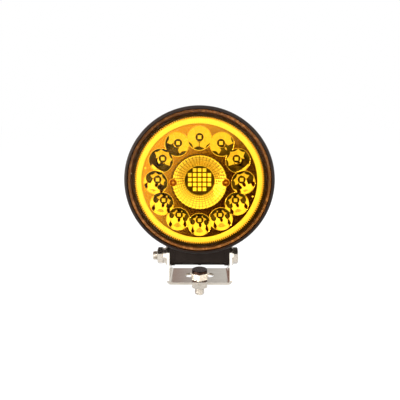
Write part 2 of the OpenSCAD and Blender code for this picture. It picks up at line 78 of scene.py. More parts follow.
def span(node):
    """Lowest and highest corner of a CAD node, as arrays."""
    low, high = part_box(node)
    return np.array(low), np.array(high)


LENS_LOW, LENS_HIGH = span("lens")
REFLECTOR_LOW, REFLECTOR_HIGH = span("reflector")
BOWL_LOW, BOWL_HIGH = span("centre_reflector")
HALO_LOW, HALO_HIGH = span("halo_ring")
LED_LOW, LED_HIGH = span("outer_leds")
ARRAY_LOW, ARRAY_HIGH = span("centre_leds")
LAMP_Z = (LENS_LOW[2] + LENS_HIGH[2]) / 2
BOARD_Y = LED_HIGH[1]
LED_WIDTH = 3 * MM
CUP_RING_R = (LED_HIGH[0] - LED_LOW[0] - LED_WIDTH) / 2
ARRAY_PITCH = (ARRAY_HIGH[0] - ARRAY_LOW[0] - LED_WIDTH) / 4


# ---- Sizes and colours that a user would change ----


def length(name, description, default):
    """A length property whose default is given in millimetres."""
    return FloatProperty(name=name, description=description, default=default * MM,
                         min=0.01 * MM, unit="LENGTH", subtype="DISTANCE", precision=5)


def colour(name, description, default):
    """A colour property, kept as a hex value."""
    return StringProperty(name=name, description=description + ", as an sRGB hex value",
                          default=default)


class FogLightSizes(bpy.types.PropertyGroup):
    """Sizes of the fine surfaces."""

    cup_mouth: length("Cup mouth", "Radius of a reflector cup at its mouth", 9.1)
    cup_hole: length("Cup hole", "Radius of the hole round the LED", 3.2)
    cup_depth: length("Cup depth", "Depth of a cup along the lamp's axis", 12)
    cup_count: IntProperty(name="Cups", description="Number of cups in the ring", default=12,
                           min=3)
    bead_width: length("Bead width", "Width of the bead round a cup's mouth", 0.4)
    bead_height: length("Bead height", "Height of that bead", 0.5)
    nub: length("Nub", "Radius of the two locating nubs on the reflector", 0.8)
    wall: length("Reflector wall", "Wall of the reflector moulding", 1.1)
    bowl_hole: length("Bowl opening", "Radius of the opening at the bottom of the bowl", 11.7)
    bowl_depth: length("Bowl depth", "Depth of the faceted part of the bowl", 8)
    bowl_rim: length("Bowl rim", "Width of the flat rim round the bowl", 0.9)
    bowl_lip: length("Bowl lip", "How far the rim laps over the reflector's bore", 0.9)
    rim_thickness: length("Rim thickness", "Thickness of the bowl's rim at its edge", 1.4)
    scallop: length("Scallop", "Depth of the scallops round the bowl's rim", 0.35)
    spout_gap: length("Spout gap", "From the bowl's lower end to the board it stands over", 0.9)
    facets: IntProperty(name="Facets", description="Facets round the bowl", default=44, min=8)
    facet_rows: IntProperty(name="Facet rows", description="Rows of facets", default=6, min=2)
    facet_swell: length("Facet swell", "How far a facet's middle stands proud", 0.17)
    led_inset: length("LED inset", "From an LED's seat in to its package", 0.08)
    halo_width: length("Halo width", "Radial width of the light guide", 5.3)
    flute_depth: length("Flute depth", "Radial depth of a flute", 1.6)
    rib_height: length("Rib height", "Height of the ribs across the light guide's face", 0.15)
    flutes: IntProperty(name="Flutes", description="Flutes round the light guide", default=180,
                        min=12)
    lens_crown: length("Crown height", "Height of the lens's middle over its flange", 1.4)
    lens_middle: length("Lens thickness", "Thickness of the lens in its middle", 2.5)
    lens_wall: length("Lens wall", "Wall of the lens under the crown's edge", 1.8)
    lens_dome: length("Lens dome", "How far the crown's middle stands over its edge", 0.25)
    crown_inset: length("Crown inset", "From the lens's edge in to the crown's edge", 3.5)
    plate: length("Plate", "Thickness of the bracket's plate", 2)
    bolt_radius: length("Bolt", "Radius of both bolts", 4)
    hex_flats: length("Hexagon", "Width across the flats of heads and nuts", 13)
    thread_pitch: length("Thread pitch", "Pitch of the bolts' threads", 1.25)
    thread_depth: length("Thread depth", "Depth of the bolts' threads", 0.6)
    thread_length: length("Thread length", "Length of the bolts' threads", 14)
    nut_play: length("Nut play", "From a bolt's thread out to its nut's hole", 0.03)
    countersink: length("Countersink", "Depth of the countersinks in the nuts", 0.4)


class FogLightColours(bpy.types.PropertyGroup):
    """Colours of the finishes."""

    casting: colour("Casting", "Black powder coat", "#15110f")
    amber: colour("Amber", "What one pass through a lens surface leaves of white", "#fff1af")
    amber_edge: colour("Amber edge", "The same through the thicker flange", "#f4d9b8")
    seal: colour("Seal", "Sealing compound under the flange", "#a3988c")
    guide: colour("Light guide", "Frosted light guide", "#d6d1c2")
    metallised: colour("Metallised", "Vacuum-metallised reflector", "#faf4e8")
    phosphor: colour("Phosphor", "LED phosphor", "#fff3a0")
    board: colour("Board", "Black solder mask", "#2a150c")
    stainless: colour("Stainless", "Stainless steel", "#d9d2c8")


# ---- Surfaces ----


def grid_faces(rows, columns, wrap_rows=False, wrap_columns=False):
    """Quads of a grid of rows x columns points, numbered row by row; a wrap joins its ends."""
    row = np.arange(rows if wrap_rows else rows - 1)
    column = np.arange(columns if wrap_columns else columns - 1)
    row, column = (a.ravel() for a in np.meshgrid(row, column, indexing="ij"))
    below, right = (row + 1) % rows, (column + 1) % columns
    return np.stack([row * columns + column, below * columns + column,
                     below * columns + right, row * columns + right], axis=1)


def surface(name, points, faces, sharp_deg=30):
    """A closed mesh object: equal points are welded, faces that collapse to a line are
    dropped, those that lose one corner become triangles, and all face outwards."""
    points = points.reshape(-1, 3)
    _, first, back = np.unique(np.round(points / WELD).astype(np.int64), axis=0,
                               return_index=True, return_inverse=True)
    faces = back.reshape(-1)[faces]
    same = faces == np.roll(faces, -1, axis=1)
    quads = faces[same.sum(axis=1) == 0]
    worn = same.sum(axis=1) == 1
    triangles = faces[worn][~same[worn]].reshape(-1, 3)
    corners = np.concatenate([quads.ravel(), triangles.ravel()])
    starts = np.concatenate([np.arange(len(quads)) * 4,
                             len(quads) * 4 + np.arange(len(triangles)) * 3])
    mesh = bpy.data.meshes.new(name)
    mesh.vertices.add(len(first))
    mesh.vertices.foreach_set("co", points[first].ravel())
    mesh.loops.add(len(corners))
    mesh.loops.foreach_set("vertex_index", corners)
    mesh.polygons.add(len(starts))
    mesh.polygons.foreach_set("loop_start", starts)
    mesh.update(calc_edges=True)
    if mesh.validate():
        raise RuntimeError(f"the surface {name} has bad faces")
    work = bmesh.new()
    work.from_mesh(mesh)
    bmesh.ops.recalc_face_normals(work, faces=work.faces)
    work.to_mesh(mesh)
    work.free()
    mesh.shade_smooth()
    mesh.set_sharp_from_angle(angle=math.radians(sharp_deg))
    piece = bpy.data.objects.new(name, mesh)
    bpy.context.scene.collection.objects.link(piece)
    return piece


def revolve(profile, steps):
    """Grid of points of a closed profile of (radius, depth) pairs turned round the lamp's axis:
    x = r cos a, y = depth, z = axis height + r sin a."""
    angle = np.arange(steps) * 2 * np.pi / steps
    r, y = profile[:, :1], profile[:, 1:]
    return np.stack([r * np.cos(angle), y + 0 * angle, LAMP_Z + r * np.sin(angle)], axis=-1)


def rounded(corners, steps=4):
    """An outline through (x, y, reach) corners. Each corner is replaced by a curve that leaves
    the sides at its reach: a quadratic blend of those two points with the corner between."""
    c = np.array(corners, float)
    here, reach = c[:, :2], c[:, 2:]
    back, on = np.roll(here, 1, axis=0) - here, np.roll(here, -1, axis=0) - here
    back /= np.linalg.norm(back, axis=1, keepdims=True)
    on /= np.linalg.norm(on, axis=1, keepdims=True)
    t = np.linspace(0, 1, steps)[None, :, None]
    a, b, m = (here + back * reach)[:, None], (here + on * reach)[:, None], here[:, None]
    return ((1 - t) ** 2 * a + 2 * t * (1 - t) * m + t ** 2 * b).reshape(-1, 2)


def turned(name, profile, steps):
    """A closed profile turned round the lamp's axis, as a mesh object."""
    points = revolve(profile, steps)
    faces = grid_faces(len(profile), steps, wrap_rows=True, wrap_columns=True)
    return surface(name, points, faces)


def finish_piece(piece, body, slot, nodes, *materials):
    """Put materials on a new piece, and tie it to the CAD body and nodes it stands for; the slot is
    not used.
    """
    for made in materials:
        piece.data.materials.append(made)
    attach(piece, body)
    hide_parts(*nodes)


def paint(piece, chosen):
    """Give the chosen faces of a piece its second material."""
    if len(piece.data.polygons) != len(chosen):
        raise RuntimeError(f"{piece.name} has {len(piece.data.polygons)} faces, not {len(chosen)}")
    piece.data.polygons.foreach_set("material_index", chosen.astype(np.int32))


def of_faces(piece, what):
    """The centre or the normal of each face, as rows of x, y and z."""
    values = np.empty(3 * len(piece.data.polygons))
    piece.data.polygons.foreach_get(what, values)
    return values.reshape(-1, 3)


def dress(node, made):
    """Give a CAD node its material and leave its mesh alone."""
    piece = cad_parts[node]
    piece.data.materials.clear()
    piece.data.materials.append(made)


# ---- Materials ----


def linear(code):
    """Linear RGBA of an sRGB hex value."""
    srgb = np.array([int(code[i:i + 2], 16) for i in (1, 3, 5)]) / 255
    rgb = np.where(srgb <= 0.04045, srgb / 12.92, ((srgb + 0.055) / 1.055) ** 2.4)
    return (*rgb, 1.0)


def add(tree, kind, values=None, links=None, **settings):
    """Add a shader node with its settings, its sockets' values and its incoming links."""
    node = tree.nodes.new("ShaderNode" + kind)
    for name, value in settings.items():
        setattr(node, name, value)
    for name, value in (values or {}).items():
        node.inputs[name].default_value = value
    for name, source in (links or {}).items():
        tree.links.new(source, node.inputs[name])
    return node


def new_material(name, **values):
    """A material with a Principled shader whose sockets get the given values."""
    made = bpy.data.materials.new(name)
    made.use_nodes = True
    tree = made.node_tree
    shader = tree.nodes["Principled BSDF"]
    for socket, value in values.items():
        shader.inputs[socket.replace("_", " ")].default_value = value
    return made, tree, shader


def noise(tree, size_mm, detail=2.0, stretch=(1, 1, 1)):
    """Noise of a real size in millimetres on Object coordinates, drawn out along an axis where
    stretch is over 1."""
    place = add(tree, "TexCoord")
    scale = tuple(1 / (size_mm * MM * s) for s in stretch)
    mapping = add(tree, "Mapping", {"Scale": scale}, {"Vector": place.outputs["Object"]})
    return add(tree, "TexNoise", {"Scale": 1.0, "Detail": detail},
               {"Vector": mapping.outputs["Vector"]}).outputs["Fac"]


def vary_colour(tree, shader, fac, dark, light, low=0.3, high=0.7):
    """Base colour between two hex values as fac goes from low to high."""
    ramp = add(tree, "ValToRGB", links={"Fac": fac})
    ramp.color_ramp.elements[0].position = low
    ramp.color_ramp.elements[0].color = linear(dark)
    ramp.color_ramp.elements[1].position = high
    ramp.color_ramp.elements[1].color = linear(light)
    tree.links.new(ramp.outputs["Color"], shader.inputs["Base Color"])


def vary_roughness(tree, shader, fac, smooth, rough):
    """Roughness between two values as a noise goes through its middle range."""
    spread = add(tree, "MapRange", {"From Min": 0.3, "From Max": 0.7, "To Min": smooth,
                                    "To Max": rough}, {"Value": fac})
    tree.links.new(spread.outputs["Result"], shader.inputs["Roughness"])


def radius_on_lamp(tree):
    """Distance from the lamp's axis, on Object coordinates."""
    place = add(tree, "TexCoord").outputs["Object"]
    centre = add(tree, "Mapping", {"Location": (0, 0, -LAMP_Z), "Scale": (1, 0, 1)},
                 {"Vector": place})
    return add(tree, "VectorMath", links={0: centre.outputs["Vector"]},
               operation="LENGTH").outputs["Value"]


def bump(tree, shader, fac, height_mm, strength=1.0):
    """Relief of a real height in millimetres."""
    node = add(tree, "Bump", {"Strength": strength, "Distance": height_mm * MM}, {"Height": fac})
    tree.links.new(node.outputs["Normal"], shader.inputs["Normal"])


def toned(name, size_mm, dark, light, rough=None, relief=None, **values):
    """A material whose noise of one size varies its colour and, where they are given, its
    roughness between two values and its relief by a height and strength."""
    made, tree, shader = new_material(name, **values)
    tone = noise(tree, size_mm)
    vary_colour(tree, shader, tone, dark, light)
    if rough:
        vary_roughness(tree, shader, tone, *rough)
    if relief:
        bump(tree, shader, tone, *relief)
    return made


def powder_coat(colours):
    """Baked black powder coat on a die casting: satin, with a fine orange-peel grain. The real
    grain is about 0.2 mm and is drawn at 0.6 mm so that it shows; its sheen is a painted
    reflection, dimmed and warmed by a brown specular tint."""
    made, tree, shader = new_material("black_powder_coat", IOR=1.45)
    # Painted reflection: a brown specular tint dims the coat's shine and warms it towards a brown
    # look
    shader.inputs["Specular Tint"].default_value = linear("#b09a8c")
    grain = noise(tree, 0.6)
    vary_colour(tree, shader, noise(tree, 9), "#0e0b0a", colours.casting)
    vary_roughness(tree, shader, grain, 0.38, 0.5)
    bump(tree, shader, grain, 0.02, 0.5)
    return made


def stainless(colours, name, grain_mm, stretch, smooth, rough, depth_mm):
    """Stainless steel sheet or bar with a directional finish of fine scratches."""
    made, tree, shader = new_material(name, Metallic=1.0)
    lines = noise(tree, grain_mm, 3, stretch)
    vary_colour(tree, shader, lines, "#c4bbae", colours.stainless)
    vary_roughness(tree, shader, lines, smooth, rough)
    bump(tree, shader, lines, depth_mm, 0.3)
    return made


def steel_with_painted_head_shade(colours, seat):
    """Stainless bolt whose head is painted dark from half its height up, a painted reflection of
    the dark lug above it, above a ragged line drawn by a noise.
    """
    made, tree, shader = new_material("stainless_with_painted_head_shade", Metallic=1.0)
    height = add(tree, "SeparateXYZ", links={"Vector": add(tree, "TexCoord").outputs["Object"]})
    scale = noise(tree, 1.2)
    edge = add(tree, "Math", {1: 1.0 * MM}, {0: scale}, operation="MULTIPLY_ADD")
    tree.links.new(height.outputs["Z"], edge.inputs[2])
    share = add(tree, "MapRange", {"From Min": seat + 3.0 * MM, "From Max": seat + 3.5 * MM},
                {"Value": edge.outputs["Value"]})
    # Painted reflection: dark above the ragged line, as if the head mirrored the dark lug above;
    # bright steel below
    vary_colour(tree, shader, share.outputs["Result"], colours.stainless, "#35261f", 0, 1)
    vary_roughness(tree, shader, scale, 0.2, 0.35)
    return made


def plated_steel():
    """Yellow zinc plating on the screws, uneven as chromate leaves it, with painted shade darkening
    its corners and recesses.
    """
    made, tree, shader = new_material("yellow_zinc_plated_steel", Metallic=0.9)
    tone = noise(tree, 1.5)
    vary_roughness(tree, shader, tone, 0.25, 0.4)
    # Painted shade: ambient occlusion darkens the colour in the cross recesses and round the heads
    corner = add(tree, "AmbientOcclusion", {"Distance": 1.2 * MM})
    tone_and_painted_shade = add(tree, "Math", {1: 0.25}, {0: tone}, operation="MULTIPLY_ADD")
    tree.links.new(corner.outputs["AO"], tone_and_painted_shade.inputs[2])
    vary_colour(tree, shader, tone_and_painted_shade.outputs["Value"], "#7a4526", "#efc69a", 0.4, 0.9)
    return made


def metallised(colours):
    """Vacuum-metallised polycarbonate under a pearly lacquer: a mirror with a soft haze."""
    return toned("metallised_polycarbonate", 4, "#f4ecdc", colours.metallised, (0.01, 0.04),
                 Metallic=1.0)


def faceted_optic():
    """The same finish on the faceted bowl, a little creamier and less mirror-like."""
    return toned("pearl_lacquered_optic", 1.5, "#e4d9c6", "#f0e7d6", (0.04, 0.08),
                 Metallic=0.95)


def facet_seam_painted_shade():
    """Seams between the bowl's facets, with painted shade: darker and less smooth."""
    return toned("painted_seam_shade", 0.8, "#4c3420", "#6e5034", (0.3, 0.45), Metallic=0.6)


def metallised_land_painted_shade():
    """The same lacquer on the flat land between the cups, painted darker and browner than the cups
    as shade, with a slight moulding texture.
    """
    # Painted shade: a darker tan than the cups' metallised colour
    return toned("metallised_land_painted_shade", 1.2, "#a88464", "#bb9a7a", (0.10, 0.18), (0.02, 0.4),
                 Metallic=1.0)


def amber_lens(sizes, colours):
    """Polished amber polycarbonate with a coating against reflections. Its two skins each take
    their share of the tint, and the flange is deeper in colour: its wall is seen edge-on."""
    made, tree, shader = new_material("amber_polycarbonate")
    tree.nodes.remove(shader)
    crown_r = (LENS_HIGH[0] - LENS_LOW[0]) / 2 - sizes.crown_inset
    edge = add(tree, "MapRange", {"From Min": crown_r - 0.8 * MM, "From Max": crown_r + 0.8 * MM},
               {"Value": radius_on_lamp(tree)})
    tint = add(tree, "Mix", {"A": linear(colours.amber), "B": linear(colours.amber_edge)},
               {"Factor": edge.outputs["Result"]}, data_type="RGBA")
    clear = add(tree, "BsdfTransparent", links={"Color": tint.outputs["Result"]})
    gloss = add(tree, "BsdfGlossy", {"Color": (1, 1, 1, 1), "Roughness": 0.02})
    # Only where a ray enters does the skin shine: leaving rays aren't bent here, so they would
    # be thrown back at flat angles
    fresnel = add(tree, "Fresnel", {"IOR": 1.15})
    enters = add(tree, "Math", {0: 1.0}, {1: add(tree, "NewGeometry").outputs["Backfacing"]},
                 operation="SUBTRACT")
    shine = add(tree, "Math", links={0: fresnel.outputs["Fac"], 1: enters.outputs["Value"]},
                operation="MULTIPLY")
    mix = add(tree, "MixShader", links={0: shine.outputs["Value"], 1: clear.outputs["BSDF"],
                                        2: gloss.outputs["BSDF"]})
    out = tree.nodes["Material Output"]
    tree.links.new(mix.outputs["Shader"], out.inputs["Surface"])
    return made


def sealing_compound(colours):
    """Silicone sealing compound: matt, slightly uneven where it was pressed out, and in the
    shade of the lens's edge along its inner side."""
    made, tree, shader = new_material("silicone_seal", IOR=1.41, Roughness=0.7)
    lumps = noise(tree, 2.5)
    low, high = span("lens_gasket")
    outer = (high[0] - low[0]) / 2
    across = add(tree, "MapRange", {"From Min": outer - 2.0 * MM, "From Max": outer - 1.3 * MM},
                 {"Value": radius_on_lamp(tree)})
    body = add(tree, "Math", {1: 0.3}, {0: lumps}, operation="MULTIPLY_ADD")
    tree.links.new(across.outputs["Result"], body.inputs[2])
    vary_colour(tree, shader, body.outputs["Value"], "#2c1e18", colours.seal, 0.1, 1.2)
    bump(tree, shader, lumps, 0.1, 0.4)
    return made


def light_guide(colours):
    """Frosted acrylic light guide: white, softly scattering, with a satin skin."""
    return toned("frosted_acrylic", 0.8, "#d0cabb", colours.guide, relief=(0.02, 0.3),
                 IOR=1.49, Roughness=0.3)


def shaded_guide():
    """The light guide's flutes: the same acrylic, but little of its light gets out there."""
    return toned("shaded_acrylic", 0.8, "#d2b090", "#e8c8a8", IOR=1.49, Roughness=0.4)


def ring_board(edge):
    """The halo's board: white solder mask under the guide, painted black outside the radius edge as
    the shade in the gaps between the flutes.
    """
    made, tree, shader = new_material("white_solder_mask", IOR=1.5, Roughness=0.35)
    # Painted shade: black outside the root circle, so that the gaps between the flutes look dark
    share = add(tree, "MapRange", {"From Min": edge - 0.6 * MM, "From Max": edge - 0.3 * MM,
                                   "To Min": 1.0, "To Max": 0.0}, {"Value": radius_on_lamp(tree)})
    vary_colour(tree, shader, share.outputs["Result"], "#1a0e08", "#e8e5db")
    bump(tree, shader, noise(tree, 1.5, 0), 0.03, 0.5)
    return made


def phosphor(colours):
    """Cast silicone over yellow phosphor on an LED's dies. The phosphor fluoresces a little under
    studio light; that is painted in as a weak glow of its own colour, which shines whatever the
    lamps do."""
    made, tree, shader = new_material("led_phosphor", IOR=1.43, Roughness=0.35)
    grains = noise(tree, 0.25)
    vary_colour(tree, shader, grains, "#ffe98a", colours.phosphor)
    # Painted glow: the LEDs are off, and this weak light stands in for the phosphor's fluorescence
    shader.inputs["Emission Color"].default_value = linear(colours.phosphor)
    shader.inputs["Emission Strength"].default_value = 0.2
    return made


def solder_mask(name, dark, light):
    """Solder mask on a circuit board: glossy lacquer over slightly raised tracks."""
    made, tree, shader = new_material(name, IOR=1.5, Roughness=0.35)
    tracks = noise(tree, 1.5, 0)
    vary_colour(tree, shader, tracks, dark, light, 0.45, 0.55)
    bump(tree, shader, tracks, 0.03, 0.5)
    return made


def moulded(name, dark, light, grain_mm, smooth, rough, ior=1.53):
    """Moulded plastic or rubber with a fine spark-eroded grain."""
    return toned(name, grain_mm, dark, light, (smooth, rough), (0.02, 0.4), IOR=ior)


# ---- Operators: one for each piece or group of like pieces ----


class Build:
    """What every operator here shares."""

    bl_options = {"REGISTER", "UNDO"}

    def execute(self, context):
        self.make(context.scene.fog_light_sizes, context.scene.fog_light_colours)
        return {"FINISHED"}


class FOGLIGHT_OT_housing(Build, bpy.types.Operator):
    """Finish the die-cast housing in black powder coat"""

    bl_idname = "foglight.housing"
    bl_label = "Housing"

    def make(self, sizes, colours):
        dress("housing", powder_coat(colours))


class FOGLIGHT_OT_lens(Build, bpy.types.Operator):
    """Turn the amber lens, with its raised middle and rounded edges, and finish its seal"""

    bl_idname = "foglight.lens"
    bl_label = "Lens and seal"

    def make(self, sizes, colours):
        r = (LENS_HIGH[0] - LENS_LOW[0]) / 2
        front, back = LENS_LOW[1], LENS_HIGH[1]
        crown_r = r - sizes.crown_inset
        inner_r = crown_r - sizes.lens_wall
        flange = front + sizes.lens_crown
        middle = front + sizes.lens_middle
        dome = sizes.lens_dome
        outline = rounded([
            (0.01 * MM, front, 0), (crown_r * 0.6, front + dome * 0.3, crown_r * 0.2),
            (crown_r, front + dome, 0.9 * MM), (crown_r + 0.1 * MM, flange, 0.25 * MM),
            (r, flange, 0.5 * MM), (r, back, 0.2 * MM), (inner_r, back, 0.2 * MM),
            (inner_r, middle, 0.3 * MM), (0.01 * MM, middle, 0)], 6)
        outline[outline[:, 0] < 0.02 * MM, 0] = 0
        lens = turned("amber_lens", outline, 256)
        finish_piece(lens, "head", "amber_lens", ["lens"], amber_lens(sizes, colours))
        dress("lens_gasket", sealing_compound(colours))


class FOGLIGHT_OT_halo(Build, bpy.types.Operator):
    """Make the fluted light guide, and finish its ring board and LEDs"""

    bl_idname = "foglight.halo"
    bl_label = "Halo ring"

    def make(self, sizes, colours):
        r_out = (HALO_HIGH[0] - HALO_LOW[0]) / 2
        r_in = r_out - sizes.halo_width
        front, back = HALO_LOW[1], HALO_HIGH[1]
        root = r_out - sizes.flute_depth
        base = rounded([
            (r_in, back, 0), (r_in, front, 0.5 * MM), (root - 0.3 * MM, front, 0.2 * MM),
            (root, front + 0.25 * MM, 0.1 * MM), (r_out, front + 0.25 * MM, 0.3 * MM),
            (r_out, back, 0)], 4)
        # A flute takes the outer points in to the root circle: crests and roots are each a
        # sixth of the pitch wide, and the flanks between them a third
        per_flute = 6
        steps = sizes.flutes * per_flute
        wave = np.array([1, 1, 0.5, 0, 0, 0.5])[np.arange(steps) % per_flute]
        points = revolve(base, steps)
        angle = np.arange(steps) * 2 * np.pi / steps
        r = base[:, :1] - np.maximum(base[:, :1] - root, 0) * (1 - wave)
        points[..., 0] = r * np.cos(angle)
        points[..., 2] = LAMP_Z + r * np.sin(angle)
        # The same wave runs across the front face as low ribs
        on_face = np.clip((front + 0.5 * MM - base[:, 1:]) / (0.5 * MM), 0, 1)
        points[..., 1] += on_face * (1 - wave) * sizes.rib_height
        ring = surface("halo_light_guide", points,
                       grid_faces(len(base), steps, wrap_rows=True, wrap_columns=True), 40)
        finish_piece(ring, "head", "clear_light_guide", ["halo_ring"], light_guide(colours),
                     shaded_guide())
        centre = of_faces(ring, "center")
        paint(ring, np.hypot(centre[:, 0], centre[:, 2] - LAMP_Z) > root - 0.02 * MM)
        dress("halo_led_board", ring_board(root))
        dress("halo_leds", phosphor(colours))


class FOGLIGHT_OT_reflector(Build, bpy.types.Operator):
    """Make the twelve-cup reflector: parabolic cups that meet in ridges, with beaded mouths"""

    bl_idname = "foglight.reflector"
    bl_label = "Reflector"

    def make(self, sizes, colours):
        count = sizes.cup_count
        face = REFLECTOR_LOW[1] + sizes.bead_height
        r_out = (REFLECTOR_HIGH[0] - REFLECTOR_LOW[0]) / 2
        r_in = (BOWL_HIGH[0] - BOWL_LOW[0]) / 2 + 0.2 * MM
        half = np.pi / count
        hole, mouth, bead = sizes.cup_hole, sizes.cup_mouth, sizes.bead_width

        def depth(rho):
            """Depth of the cup's paraboloid at distance rho from its axis: falls with rho
            squared, from the LED hole up to the mouth."""
            t = (mouth ** 2 - rho ** 2) / (mouth ** 2 - hole ** 2)
            return face + sizes.cup_depth * np.clip(t, 0, 1)

        def front(rho):
            """The cup, then a half-round bead, then the flat land."""
            ridge = 1 - np.clip(np.abs(rho - mouth - bead / 2) / (bead / 2), 0, 1) ** 2
            return depth(rho) - sizes.bead_height * np.sqrt(ridge)

        angle, reach, on_circle = self.cell(r_in, r_out, half)
        cos, sin = np.cos(angle), np.sin(angle)
        rho = np.concatenate([
            [hole], np.linspace(hole, mouth, 26), mouth + bead * np.linspace(0, 1, 8)[1:],
            [mouth + bead * 1.6, np.inf]])
        y_front = front(np.minimum(rho[:, None], reach[None]))
        y_front[0] = BOARD_Y
        r_front = np.minimum(rho[:, None], reach[None])
        rho_back = np.concatenate([[np.inf], np.linspace(mouth + sizes.wall, hole + sizes.wall, 9)])
        r_back = np.minimum(rho_back[:, None], reach[None])
        y_back = np.minimum(np.maximum(depth(r_back - sizes.wall), face + sizes.wall), BOARD_Y)
        rows_r = np.concatenate([r_front, r_back])
        rows_y = np.concatenate([y_front, y_back])
        x, z = CUP_RING_R + rows_r * cos, rows_r * sin
        turn = np.pi / 2 + np.arange(count)[:, None, None] * 2 * half
        points = np.stack([x * np.cos(turn) - z * np.sin(turn), rows_y + 0 * turn,
                           LAMP_Z + x * np.sin(turn) + z * np.cos(turn)], axis=-1)
        rows, columns = rows_r.shape
        cell = grid_faces(rows, columns, wrap_rows=True, wrap_columns=True)
        # The strip between the front's and the back's edge shows only on the two circles
        edge_row = len(r_front) - 1
        strip = cell[:, 0] // columns == edge_row
        open_here = on_circle[cell[:, 0] % columns] & on_circle[cell[:, 3] % columns]
        cell = cell[~strip | open_here]
        faces = (cell[None] + (np.arange(count) * rows * columns)[:, None, None]).reshape(-1, 4)
        nub_points, nub_faces = self.nubs(sizes, face, r_out, half)
        faces = np.concatenate([faces, nub_faces + points.size // 3])
        points = np.concatenate([points.reshape(-1, 3), nub_points])
        piece = surface("twelve_cup_reflector", points, faces, 35)
        finish_piece(piece, "head", "metallised", ["reflector"], metallised(colours),
                     metallised_land_painted_shade())
        # The land's faces lie flat at the face's depth
        level = np.abs(of_faces(piece, "center")[:, 1] - face) < 0.01 * MM
        paint(piece, level & (of_faces(piece, "normal")[:, 1] < -0.99))

    def cell(self, r_in, r_out, half):
        """The outline of one cup's cell, which is a wedge of the ring: directions round the
        cup's axis, the distance to the edge in each, and whether that edge is on a circle. The
        edge is the nearest of two wedge planes and two circles."""
        corner = []
        for radius in (r_in, r_out):
            across = radius * np.sin(half)
            corner.append(np.arctan2(across, radius * np.cos(half) - CUP_RING_R))
        even = np.arange(-60, 61) * np.pi / 60
        angle = np.unique(np.round(np.concatenate([even, corner, np.negative(corner)]), 12))[1:]
        cos, sin = np.cos(angle), np.sin(angle)
        with np.errstate(divide="ignore", invalid="ignore"):
            upper = CUP_RING_R * np.sin(half) / (sin * np.cos(half) - cos * np.sin(half))
            lower = -CUP_RING_R * np.sin(half) / (sin * np.cos(half) + cos * np.sin(half))
            outer = -CUP_RING_R * cos + np.sqrt(r_out ** 2 - (CUP_RING_R * sin) ** 2)
            inner = -CUP_RING_R * cos - np.sqrt(r_in ** 2 - (CUP_RING_R * sin) ** 2)
        choices = np.stack([upper, lower, outer, inner])
        choices[~(choices > 0)] = np.inf
        reach = choices.min(axis=0)
        return angle, reach, np.minimum(choices[2], choices[3]) <= reach + 1e-9

    def nubs(self, sizes, face, r_out, half):
        """Two domes on the land, opposite each other between cups: quarter ellipses turned
        round an axis along the lamp's, and sunk a little into the land."""
        t = np.linspace(0, np.pi / 2, 6)
        r = np.concatenate([[0, sizes.nub], sizes.nub * np.cos(t)])
        sunk = face + 0.3 * MM
        y = np.concatenate([[sunk, sunk], face - sizes.bead_height * np.sin(t)])
        r[-1] = 0
        around = np.arange(20) * np.pi / 10
        place = (r_out - 2 * sizes.nub) * np.exp(1j * (np.array([0, np.pi]) - half))
        x = place.real[:, None, None] + r[:, None] * np.cos(around)
        z = place.imag[:, None, None] + r[:, None] * np.sin(around)
        points = np.stack([x, y[:, None] + 0 * x, LAMP_Z + z], axis=-1).reshape(-1, 3)
        one = grid_faces(len(r), len(around), wrap_rows=True, wrap_columns=True)
        both = np.concatenate([one, one + len(r) * len(around)])
        return points, both


class FOGLIGHT_OT_bowl(Build, bpy.types.Operator):
    """Make the middle bowl, with rows of swelling facets, and finish its two screws"""

    bl_idname = "foglight.bowl"
    bl_label = "Centre bowl"

    def make(self, sizes, colours):
        r_out = (BOWL_HIGH[0] - BOWL_LOW[0]) / 2 + sizes.bowl_lip
        face = BOWL_LOW[1]
        r_rim = r_out - sizes.bowl_rim
        r_hole = sizes.bowl_hole
        per_facet = 8
        rows, columns = sizes.facet_rows * per_facet, sizes.facets * per_facet
        # The bowl: radius falls and depth grows from rim to opening, as in the CAD; each facet
        # swells by a parabola in both directions, towards the axis and the front
        t = np.linspace(0, 1, rows + 1)[:, None]
        u = (np.arange(columns) % per_facet / per_facet)[None]
        v = (t * sizes.facet_rows) % 1
        swell = sizes.facet_swell * 16 * u * (1 - u) * v * (1 - v)
        r_bowl = r_rim - (r_rim - r_hole) * t ** 0.8 - swell * 0.6
        y_bowl = face + sizes.bowl_depth * t ** 1.25 - swell * 0.8
        angle = np.arange(columns) * 2 * np.pi / columns
        flat = np.zeros(columns)
        scallop = sizes.scallop * (1 - np.sin(np.pi * u[0]))
        back = BOWL_HIGH[1] - sizes.spout_gap
        # Outside, a straight spout leads up to a cone, which meets the thin rim
        wall = sizes.wall
        spout_top = face + sizes.bowl_depth + 0.6 * MM
        outer_rows = [(r_hole, back), (r_hole + wall, back), (r_hole + wall, spout_top),
                      (r_out, face + sizes.rim_thickness)]
        r_all = np.concatenate([r_bowl] + [(r + flat)[None] for r, _ in outer_rows]
                               + [(r_out - scallop)[None]])
        y_all = np.concatenate([y_bowl] + [(y + flat)[None] for _, y in outer_rows]
                               + [(face + flat)[None]])
        points = np.stack([r_all * np.cos(angle), y_all, LAMP_Z + r_all * np.sin(angle)], -1)
        faces = grid_faces(len(r_all), columns, wrap_rows=True, wrap_columns=True)
        piece = surface("faceted_bowl", points, faces, 14)
        finish_piece(piece, "head", "metallised", ["centre_reflector"], faceted_optic(),
                     facet_seam_painted_shade())
        # The seams, painted as shade, are the last row and the last column of each facet's faces
        row, column = (a.ravel() for a in np.indices((len(r_all), columns)))
        last = per_facet - 1
        paint(piece, (row < rows) & ((row % per_facet == last) | (column % per_facet == last)))
        plated = plated_steel()
        dress("centre_screws", plated)
        dress("board_screws", plated)


